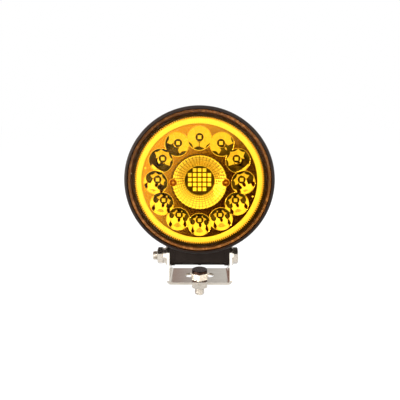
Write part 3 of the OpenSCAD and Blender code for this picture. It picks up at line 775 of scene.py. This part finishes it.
def led_points(width, height):
    """Height field of one LED over a square: a low frame, and four raised dies set apart by a
    cross-shaped gap. Returns a grid of (x, up, y) points."""
    half, die, gap, wall = width / 2, width * 0.43, width * 0.03, 0.02 * MM
    side = np.array([-half, -half, -die, -die + wall, -gap - wall, -gap])
    side = np.concatenate([side, -side[::-1]])
    raised = np.array([0, 0, 0, 1, 1, 0])
    raised = np.concatenate([raised, raised[::-1]])
    x, y = np.meshgrid(side, side, indexing="ij")
    up = height * (0.65 + 0.35 * np.outer(raised, raised))
    rim = np.zeros(len(side))
    rim[[0, -1]] = 1
    up[(rim[:, None] + rim[None]) > 0] = 0
    return np.stack([x, up, y], axis=-1)


class FOGLIGHT_OT_leds(Build, bpy.types.Operator):
    """Make the ring's and the middle array's LEDs, each with four dies"""

    bl_idname = "foglight.leds"
    bl_label = "LEDs"

    def make(self, sizes, colours):
        turn = np.pi / 2 + np.arange(sizes.cup_count) * 2 * np.pi / sizes.cup_count
        ring = CUP_RING_R * np.stack([np.cos(turn), np.sin(turn)], axis=-1)
        # The middle array is a square of five by five without its corners
        step = np.arange(-2, 3)
        i, j = (a.ravel() for a in np.meshgrid(step, step))
        inside = np.abs(i) + np.abs(j) < 4
        array = ARRAY_PITCH * np.stack([i[inside], j[inside]], axis=-1)
        yellow = phosphor(colours)
        package = moulded("led_package", "#1a0d06", "#2a160c", 0.4, 0.5, 0.7)
        for name, node, places in (("ring_leds", "outer_leds", ring),
                                   ("array_leds", "centre_leds", array)):
            low, high = span(node)
            one = led_points(LED_WIDTH - 2 * sizes.led_inset, high[1] - low[1])
            rows, columns = one.shape[:2]
            points = one[None] * np.array([1, -1, 1]) + np.stack(
                [places[:, 0], 0 * places[:, 0] + high[1], LAMP_Z + places[:, 1]],
                axis=-1)[:, None, None]
            # The sides are the grid's outer cells; its four corner cells have no area
            row, column = (a.ravel() for a in np.indices((rows - 1, columns - 1)))
            x_side, y_side = row % (rows - 2) == 0, column % (columns - 2) == 0
            kept = ~(x_side & y_side)
            top = grid_faces(rows, columns)[kept]
            base = np.array([[0, columns - 1, rows * columns - 1, (rows - 1) * columns]])
            faces = np.concatenate([top, base])
            faces = faces[None] + (np.arange(len(places)) * rows * columns)[:, None, None]
            piece = surface(name, points, faces.reshape(-1, 4), 30)
            finish_piece(piece, "head", "led", [node], yellow, package)
            paint(piece, np.tile(np.append((x_side | y_side)[kept], True), len(places)))


class FOGLIGHT_OT_boards(Build, bpy.types.Operator):
    """Finish the circuit boards and the thermal pad"""

    bl_idname = "foglight.boards"
    bl_label = "Boards"

    def make(self, sizes, colours):
        dress("main_board", solder_mask("black_solder_mask", "#120e0c", colours.board))
        dress("driver_board", solder_mask("green_solder_mask", "#17492b", "#1f5a34"))
        dress("thermal_pad", moulded("silicone_pad", "#7d868c", "#8f979c", 1.0, 0.6, 0.8, 1.41))


class FOGLIGHT_OT_gland(Build, bpy.types.Operator):
    """Finish the cable gland and the breather vent in moulded nylon"""

    bl_idname = "foglight.gland"
    bl_label = "Gland and vent"

    def make(self, sizes, colours):
        nylon = moulded("black_nylon", "#141312", "#1f1d1b", 0.5, 0.4, 0.55)
        for node in ("cable_gland", "gland_nut", "breather_vent"):
            dress(node, nylon)


class FOGLIGHT_OT_bracket(Build, bpy.types.Operator):
    """Finish the U-bracket in polished stainless sheet, its grain along the strip"""

    bl_idname = "foglight.bracket"
    bl_label = "Bracket"

    def make(self, sizes, colours):
        dress("bracket", stainless(colours, "polished_stainless_sheet", 0.35, (60, 1, 60),
                                   0.10, 0.20, 0.01))


def hexagon(angle, flats):
    """Distance from a hexagon's centre to its side in each direction, with corners on 0, 60,
    120 degrees and so on: half the width across flats over the cosine to the nearest flat."""
    off = (angle % (np.pi / 3)) - np.pi / 6
    return flats / 2 / np.cos(off)


def hex_fastener(name, outline, angle, place):
    """A closed fastener from rows of (radius per direction, height), put in place by a function
    that maps its own (x, y, height) grid to the frame."""
    r = np.stack([np.broadcast_to(row[0], angle.shape) for row in outline])
    h = np.stack([np.broadcast_to(row[1], angle.shape) for row in outline])
    points = place(r * np.cos(angle), r * np.sin(angle), h)
    faces = grid_faces(len(outline), len(angle), wrap_rows=True, wrap_columns=True)
    return surface(name, points, faces, 25)


def hex_rows(angle, flats, low, high, both_ends):
    """Rows of a hexagonal prism whose corners are turned off by a 30 degree cone at the high
    end, or at both. The cone leaves a round end face a little narrower than the flats."""
    corner = hexagon(angle, flats)
    end_r = 0.96 * flats / 2
    fall = (corner - end_r) * math.tan(math.radians(30))
    top = [(corner, high - fall), (end_r, high)]
    bottom = [(end_r, low), (corner, low + fall)] if both_ends else [(corner, low)]
    return bottom + top


def thread_rows(angle, radius, start, end, sizes, plain_to):
    """Rows of a bolt's shank from start to end: plain up to plain_to, then a thread whose
    radius falls and rises once per pitch along the shank and once per turn round it, as a wave
    with straight flanks and flat crests and roots, and a 45 degree point at the end."""
    rows_per_pitch, flank, root, point_r = 8, 2.6, 0.15, 0.8 * radius
    samples = int(abs(end - plain_to) / sizes.thread_pitch * rows_per_pitch)
    heights = np.concatenate([[start], np.linspace(plain_to, end, samples)])
    phase = (heights[:, None] / sizes.thread_pitch - angle[None] / (2 * np.pi)) % 1
    groove = np.clip(np.abs(phase - 0.5) * flank - root, 0, 1)
    fade = np.clip(np.abs(heights - plain_to) / sizes.thread_pitch, 0, 1)[:, None]
    r = radius - sizes.thread_depth * (1 - groove) * fade
    r = np.minimum(r, point_r + np.abs(end - heights)[:, None])
    return [(r[k], heights[k]) for k in range(len(heights))] + [(0 * angle, end)]


class FOGLIGHT_OT_fasteners(Build, bpy.types.Operator):
    """Make both hexagon bolts with their threads and both nuts, and finish the washers"""

    bl_idname = "foglight.fasteners"
    bl_label = "Bolts, nuts and washers"

    def make(self, sizes, colours):
        steel = stainless(colours, "turned_stainless", 0.25, (1, 1, 1), 0.16, 0.30, 0.02)
        angle = np.arange(72) * 2 * np.pi / 72
        tilt_low, tilt_high = span("tilt_bolt")
        tilt_z = (tilt_low[2] + tilt_high[2]) / 2
        washers_high = span("tilt_washers")[1]
        mount_low, mount_high = span("mounting_bolt")
        plate_top = span("bracket")[0][2] + sizes.plate

        def along_x(x, y, h):
            """Height runs along +X, and the hexagon's corner points up."""
            return np.stack([h, y, tilt_z + x], axis=-1)

        def along_z(x, y, h):
            """Height runs along +Z, and the hexagon's corner points to the front."""
            return np.stack([-y, -x, h], axis=-1)

        self.bolt("tilt_hex_bolt", "tilt_bolt", "bracket", along_x, angle, washers_high[0],
                  tilt_high[0], tilt_low[0], sizes, steel)
        self.bolt("mounting_hex_bolt", "mounting_bolt", "mounting_bolt_set", along_z, angle,
                  plate_top, mount_high[2], mount_low[2], sizes,
                  steel_with_painted_head_shade(colours, plate_top))
        low, high = span("tilt_nut")
        self.nut("tilt_hex_nut", "tilt_nut", "bracket", along_x, angle, low[0], high[0], sizes,
                 steel)
        low, high = span("mounting_nut")
        self.nut("mounting_hex_nut", "mounting_nut", "mounting_bolt_set", along_z, angle, low[2],
                 high[2], sizes, steel)
        for node in ("tilt_washers", "tilt_spring_washer", "mounting_washer",
                     "mounting_spring_washer"):
            dress(node, steel)

    def bolt(self, name, node, body, place, angle, seat, top, tip, sizes, steel):
        """A bolt from its tip, by the threaded shank and its seat, to the top of its head."""
        rows = hex_rows(angle, sizes.hex_flats, seat, top, False)
        crown = [(0 * angle, top)]
        shank = thread_rows(angle, sizes.bolt_radius, seat, tip, sizes,
                            tip + sizes.thread_length)
        outline = shank[::-1] + rows + crown
        piece = hex_fastener(name, outline, angle, place)
        finish_piece(piece, body, "stainless_fastener", [node], steel)

    def nut(self, name, node, body, place, angle, low, high, sizes, steel):
        """A nut with a countersunk hole that clears its bolt's thread by a hair."""
        hole = sizes.bolt_radius + sizes.nut_play
        sink = sizes.countersink
        rows = [(hole, low + sink), (hole + sink, low)]
        rows += hex_rows(angle, sizes.hex_flats, low, high, True)
        rows += [(hole + sink, high), (hole, high - sink)]
        piece = hex_fastener(name, rows, angle, place)
        finish_piece(piece, body, "stainless_fastener", [node], steel)


class FOGLIGHT_OT_stage(Build, bpy.types.Operator):
    """Set the camera, the lamps, the world and the pale floor"""

    bl_idname = "foglight.stage"
    bl_label = "Stage"

    # The camera stands a little above the lamp's axis and looks down on it
    camera_lens = 34.18
    camera_place = (2.1 * MM, -306.1 * MM, 139.5 * MM)
    camera_down_deg = 13.02
    camera_left_deg = 0.33
    # The floor's front edge lies just below the view, so that the lamp mirrors little of it
    floor_front = -0.14
    floor_reach = 3.0
    # How much of the floor is the background's own white to the camera, and how bright that is
    floor_share = 0.8
    floor_glow = 1.15

    def make(self, sizes, colours):
        scene = bpy.context.scene
        scene.view_settings.view_transform = "Standard"
        self.camera(scene)
        self.world(scene)
        self.lamp("key_softbox", (-0.45, -0.55, 0.55), (0.5, 0.5), 14)
        self.lamp("fill_softbox", (0.55, -0.45, 0.25), (0.5, 0.5), 5)
        self.lamp("back_softbox", (0.1, 0.5, 0.5), (0.5, 0.5), 5)
        self.lamp("strip_light", (-0.56, -0.22, 0.09), (0.04, 0.5), 3, glints=True)
        self.floor()

    def camera(self, scene):
        """A camera that looks down on the lamp from the front."""
        data = bpy.data.cameras.new("camera")
        data.sensor_width = 36
        data.lens = self.camera_lens
        camera = bpy.data.objects.new("camera", data)
        camera.location = self.camera_place
        camera.rotation_euler = (math.radians(90 - self.camera_down_deg), 0,
                                 math.radians(self.camera_left_deg))
        data.clip_start = 0.01
        scene.collection.objects.link(camera)
        scene.camera = camera

    def world(self, scene):
        """White to the camera, a soft even white to matt surfaces, and to mirrors a studio:
        bright in front but for a dark brown patch low in the middle, and a wall behind the
        object that brightens to the right."""
        world = bpy.data.worlds.new("studio")
        world.use_nodes = True
        tree = world.node_tree
        ray = add(tree, "TexCoord").outputs["Generated"]
        front = self.slope(tree, ray, (0.10, -0.96, -0.25), 0.985, 0.965, 0.06, 2.4)
        wall = self.slope(tree, ray, (1, 0, 0.2), -0.1, 0.3, 0.35, 1.0)
        behind = self.slope(tree, ray, (0, 1, 0), -0.2, 0.2, 0.0, 1.0)
        studio = add(tree, "Mix", links={"Factor": behind, "A": front, "B": wall})
        path = add(tree, "LightPath")
        shown = add(tree, "Math", links={0: path.outputs["Is Glossy Ray"],
                                         1: path.outputs["Is Transmission Ray"]},
                    operation="MAXIMUM")
        light = add(tree, "Mix", {"A": 0.7}, {"Factor": shown.outputs["Value"],
                                              "B": studio.outputs["Result"]})
        seen = add(tree, "Mix", {"B": 1.0}, {"Factor": path.outputs["Is Camera Ray"],
                                             "A": light.outputs["Result"]})
        ramp = add(tree, "ValToRGB", links={"Fac": seen.outputs["Result"]})
        ramp.color_ramp.elements[0].position = 0.1
        ramp.color_ramp.elements[0].color = linear("#ff8a50")
        ramp.color_ramp.elements[1].position = 0.6
        ramp.color_ramp.elements[1].color = (1, 1, 1, 1)
        tree.links.new(seen.outputs["Result"], tree.nodes["Background"].inputs["Strength"])
        tree.links.new(ramp.outputs["Color"], tree.nodes["Background"].inputs["Color"])
        scene.world = world

    def slope(self, tree, ray, along, low, high, dim, bright):
        """Brightness that goes from dim to bright as the ray's share along a direction goes
        from low to high."""
        dot = add(tree, "VectorMath", {1: along}, {0: ray}, operation="DOT_PRODUCT")
        return add(tree, "MapRange", {"From Min": low, "From Max": high, "To Min": dim,
                                      "To Max": bright}, {"Value": dot.outputs["Value"]},
                   interpolation_type="SMOOTHSTEP").outputs["Result"]

    def lamp(self, name, place, size, power, glints=False):
        """An area lamp turned to the lamp's head; mirrors show it only where glints is set."""
        data = bpy.data.lights.new(name, "AREA")
        data.shape = "RECTANGLE"
        data.size, data.size_y = size
        data.energy = power
        lamp = bpy.data.objects.new(name, data)
        lamp.location = place
        aim = np.array([0, 0, LAMP_Z]) - np.array(place)
        lamp.rotation_euler = Vector(aim).to_track_quat("-Z", "Y").to_euler()
        lamp.visible_glossy = glints
        bpy.context.scene.collection.objects.link(lamp)

    def floor(self):
        """A pale floor at the bolt's tip that fades into the white background: most of its
        light is the background's own white, and the rest takes the object's shadow."""
        low = CAD_BOX[0][2]
        reach, front = self.floor_reach, self.floor_front
        points = np.array([[-reach, front, low], [reach, front, low], [reach, reach, low],
                           [-reach, reach, low]])
        mesh = bpy.data.meshes.new("floor")
        mesh.from_pydata(points.tolist(), [], [(0, 1, 2, 3)])
        floor = bpy.data.objects.new("floor", mesh)
        bpy.context.scene.collection.objects.link(floor)
        made, tree, shader = new_material("floor_paper", Roughness=0.9)
        shader.inputs["Base Color"].default_value = linear("#b4b4b4")
        white = add(tree, "Emission", {"Strength": self.floor_glow})
        path = add(tree, "LightPath")
        share = add(tree, "Math", {1: self.floor_share}, {0: path.outputs["Is Camera Ray"]},
                    operation="MULTIPLY")
        mix = add(tree, "MixShader", links={0: share.outputs["Value"], 1: shader.outputs["BSDF"],
                                            2: white.outputs["Emission"]})
        tree.links.new(mix.outputs["Shader"], tree.nodes["Material Output"].inputs["Surface"])
        mesh.materials.append(made)


OPERATORS = (
    FOGLIGHT_OT_stage, FOGLIGHT_OT_housing, FOGLIGHT_OT_lens, FOGLIGHT_OT_halo,
    FOGLIGHT_OT_reflector, FOGLIGHT_OT_bowl, FOGLIGHT_OT_leds, FOGLIGHT_OT_boards,
    FOGLIGHT_OT_gland, FOGLIGHT_OT_bracket, FOGLIGHT_OT_fasteners)


class FOGLIGHT_PT_panel(bpy.types.Panel):
    """Buttons for each group of pieces, and the sizes and colours they use"""

    bl_idname = "FOGLIGHT_PT_panel"
    bl_label = "Fog light"
    bl_space_type = "VIEW_3D"
    bl_region_type = "UI"
    bl_category = "Fog light"

    def draw(self, context):
        for operator in OPERATORS:
            self.layout.operator(operator.bl_idname)
        for group in (context.scene.fog_light_sizes, context.scene.fog_light_colours):
            for name in group.bl_rna.properties.keys():
                if name not in {"rna_type", "name"}:
                    self.layout.prop(group, name)


CLASSES = (FogLightSizes, FogLightColours, *OPERATORS, FOGLIGHT_PT_panel)


def register():
    for item in CLASSES:
        bpy.utils.register_class(item)
    bpy.types.Scene.fog_light_sizes = PointerProperty(type=FogLightSizes)
    bpy.types.Scene.fog_light_colours = PointerProperty(type=FogLightColours)


def unregister():
    del bpy.types.Scene.fog_light_colours
    del bpy.types.Scene.fog_light_sizes
    for item in reversed(CLASSES):
        bpy.utils.unregister_class(item)


def main():
    register()
    for operator in OPERATORS:
        group, name = operator.bl_idname.split(".")
        getattr(getattr(bpy.ops, group), name)()


if __name__ == "__main__":
    main()
